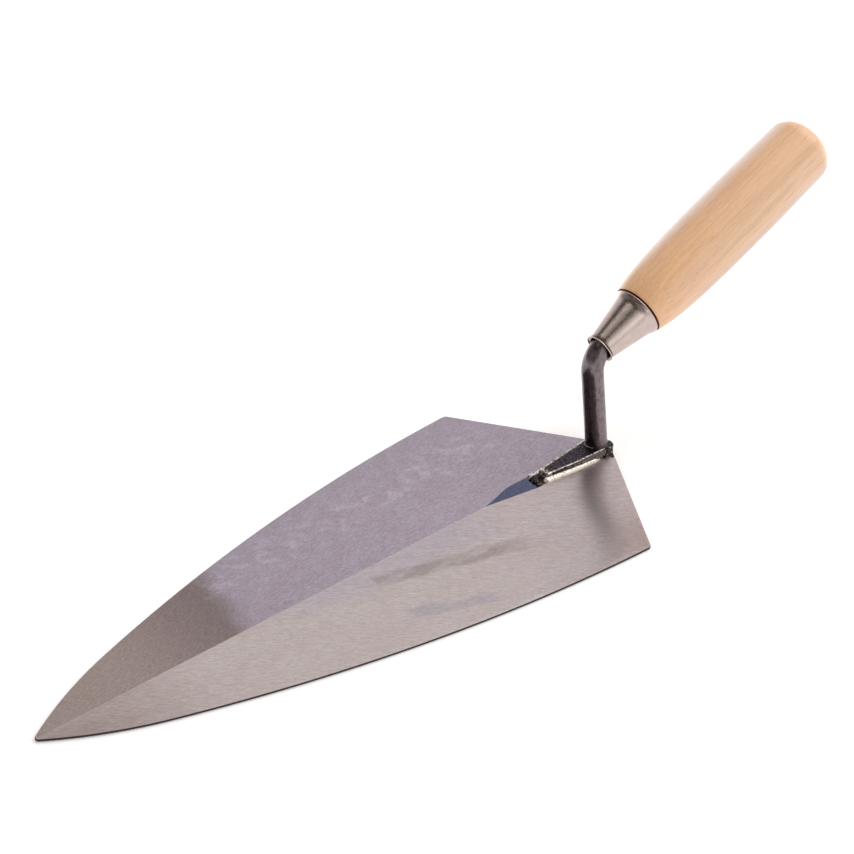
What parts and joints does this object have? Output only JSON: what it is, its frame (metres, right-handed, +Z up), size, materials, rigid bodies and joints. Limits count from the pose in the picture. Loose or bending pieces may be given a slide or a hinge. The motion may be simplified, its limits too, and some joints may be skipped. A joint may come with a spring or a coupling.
{
  "type": "brick trowel",
  "caption": "Brick trowel: long leaf-shaped steel blade with a low ridge, bent round shank welded on by a wedge foot, plated conical ferrule and turned wooden handle.",
  "frame": {"origin": "centre of the bounding box in plan, at the blade's underside", "axes": "+X from the blade's toe towards the handle's butt, +Y across the blade, +Z up from the blade towards the handle"},
  "size_m": [0.396, 0.1236, 0.1188],
  "materials": {
    "blade_steel": "ground and brushed, thin clear lacquer",
    "forged_steel": "dark forge scale on the foot, satin dark grey on the rod",
    "ground_weld": "bright, roughly ground",
    "raw_weld": "dark, rough, as welded",
    "nickel_plate": "warm bright nickel plate with faint drawing marks",
    "varnished_wood": "pale close-grained wood, satin varnish"
  },
  "bodies": {
    "root": {"blade": "blade_steel", "shank": "forged_steel", "weld_seam_near": "ground_weld", "weld_seam_far": "ground_weld", "weld_front": "raw_weld", "weld_rear": "raw_weld", "ferrule": "nickel_plate", "handle": "varnished_wood"}
  },
  "joints": []
}
